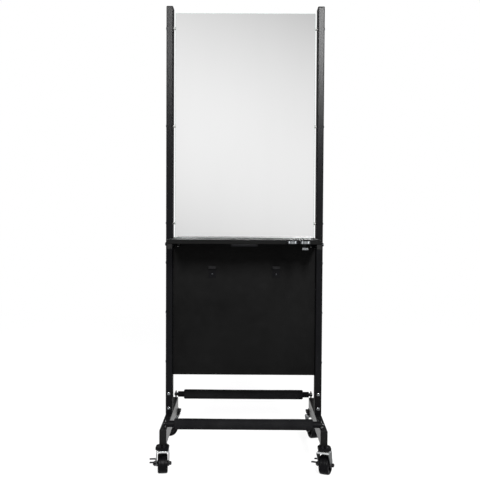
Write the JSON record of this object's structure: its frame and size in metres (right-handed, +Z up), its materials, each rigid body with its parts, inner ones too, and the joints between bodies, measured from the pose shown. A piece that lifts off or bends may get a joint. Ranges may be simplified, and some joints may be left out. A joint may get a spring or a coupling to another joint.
{
  "type": "double sided salon station",
  "caption": "Mobile salon station with back to back mirrors between two posts, a shelf with tool rings on each side, footrest bars and braked swivel casters.",
  "frame": {"origin": "on the floor, under the middle of the frame", "axes": "+X across the station to the right seen from the front, +Y from the front side to the rear side, +Z up"},
  "size_m": [0.7376, 0.602, 1.835],
  "materials": {
    "black_steel": "satin",
    "black_cap": "matte",
    "zinc_fastener": "zinc",
    "mirror_glass": "polished",
    "black_board": "satin laminate",
    "black_strip": "satin",
    "chrome_ring": "polished",
    "black_foam": "closed cell foam",
    "white_nylon": "matte",
    "zinc_fork": "zinc",
    "black_axle": "black oxide",
    "black_tyre": "smooth",
    "black_hub": "moulded",
    "black_lever": "satin"
  },
  "bodies": {
    "frame": {"left_post": "black_steel", "right_post": "black_steel", "post_caps": "black_cap", "left_foot": "black_steel", "right_foot": "black_steel", "foot_caps": "black_cap", "post_bolts": "zinc_fastener", "post_nuts": "zinc_fastener", "front_mirror": "mirror_glass", "rear_mirror": "mirror_glass", "mirror_backing": "black_board", "mirror_spacers": "black_cap", "mirror_bolts": "zinc_fastener", "front_shelf": "black_board", "rear_shelf": "black_board", "left_shelf_arm": "black_steel", "right_shelf_arm": "black_steel", "arm_caps": "black_cap", "arm_bolts": "zinc_fastener", "arm_nuts": "zinc_fastener", "shelf_screws": "zinc_fastener", "centre_panel": "black_board", "panel_bolts": "zinc_fastener", "tool_hooks": "black_strip", "hook_screws": "zinc_fastener", "shelf_grips": "black_strip", "front_tool_holder": "chrome_ring", "rear_tool_holder": "chrome_ring", "trim_screws": "zinc_fastener", "front_footrest_tube": "black_steel", "rear_footrest_tube": "black_steel", "front_footrest_foam": "black_foam", "rear_footrest_foam": "black_foam", "footrest_spacers": "black_cap", "footrest_bolts": "zinc_fastener", "caster_plates": "black_steel", "caster_bolts": "black_axle", "caster_nuts": "black_axle", "kingpins": "zinc_fastener", "swivel_bearings": "white_nylon"},
    "front_left_caster": {"front_left_fork": "zinc_fork", "front_left_axle": "black_axle"},
    "front_left_wheel": {"front_left_tyre": "black_tyre", "front_left_hub": "black_hub"},
    "front_left_brake": {"front_left_brake_lever": "black_lever"},
    "front_right_caster": {"front_right_fork": "zinc_fork", "front_right_axle": "black_axle"},
    "front_right_wheel": {"front_right_tyre": "black_tyre", "front_right_hub": "black_hub"},
    "front_right_brake": {"front_right_brake_lever": "black_lever"},
    "rear_left_caster": {"rear_left_fork": "zinc_fork", "rear_left_axle": "black_axle"},
    "rear_left_wheel": {"rear_left_tyre": "black_tyre", "rear_left_hub": "black_hub"},
    "rear_left_brake": {"rear_left_brake_lever": "black_lever"},
    "rear_right_caster": {"rear_right_fork": "zinc_fork", "rear_right_axle": "black_axle"},
    "rear_right_wheel": {"rear_right_tyre": "black_tyre", "rear_right_hub": "black_hub"},
    "rear_right_brake": {"rear_right_brake_lever": "black_lever"}
  },
  "joints": [
    {"name": "front_left_swivel", "type": "hinge", "parent": "frame", "child": "front_left_caster", "pos_m": [-0.3065, -0.258, 0.109], "axis": [0, 0, 1], "continuous": true},
    {"name": "front_left_roll", "type": "hinge", "parent": "front_left_caster", "child": "front_left_wheel", "pos_m": [-0.30943, -0.23418, 0.0375], "axis": [0.9925, 0.1219, 0], "continuous": true},
    {"name": "front_left_brake_press", "type": "hinge", "parent": "front_left_caster", "child": "front_left_brake", "pos_m": [-0.30943, -0.23418, 0.0375], "axis": [0.9925, 0.1219, 0], "range_deg": [0, 16]},
    {"name": "front_right_swivel", "type": "hinge", "parent": "frame", "child": "front_right_caster", "pos_m": [0.3065, -0.258, 0.109], "axis": [0, 0, 1], "continuous": true},
    {"name": "front_right_roll", "type": "hinge", "parent": "front_right_caster", "child": "front_right_wheel", "pos_m": [0.31549, -0.23575, 0.0375], "axis": [0.9272, -0.3746, 0], "continuous": true},
    {"name": "front_right_brake_press", "type": "hinge", "parent": "front_right_caster", "child": "front_right_brake", "pos_m": [0.31549, -0.23575, 0.0375], "axis": [0.9272, -0.3746, 0], "range_deg": [0, 16]},
    {"name": "rear_left_swivel", "type": "hinge", "parent": "frame", "child": "rear_left_caster", "pos_m": [-0.3065, 0.258, 0.109], "axis": [0, 0, 1], "continuous": true},
    {"name": "rear_left_roll", "type": "hinge", "parent": "rear_left_caster", "child": "rear_left_wheel", "pos_m": [-0.33044, 0.25967, 0.0375], "axis": [0.0698, 0.9976, 0], "continuous": true},
    {"name": "rear_left_brake_press", "type": "hinge", "parent": "rear_left_caster", "child": "rear_left_brake", "pos_m": [-0.33044, 0.25967, 0.0375], "axis": [0.0698, 0.9976, 0], "range_deg": [0, 16]},
    {"name": "rear_right_swivel", "type": "hinge", "parent": "frame", "child": "rear_right_caster", "pos_m": [0.3065, 0.258, 0.109], "axis": [0, 0, 1], "continuous": true},
    {"name": "rear_right_roll", "type": "hinge", "parent": "rear_right_caster", "child": "rear_right_wheel", "pos_m": [0.31325, 0.23497, 0.0375], "axis": [-0.9596, -0.2813, 0], "continuous": true},
    {"name": "rear_right_brake_press", "type": "hinge", "parent": "rear_right_caster", "child": "rear_right_brake", "pos_m": [0.31325, 0.23497, 0.0375], "axis": [-0.9596, -0.2813, 0], "range_deg": [0, 16]}
  ]
}
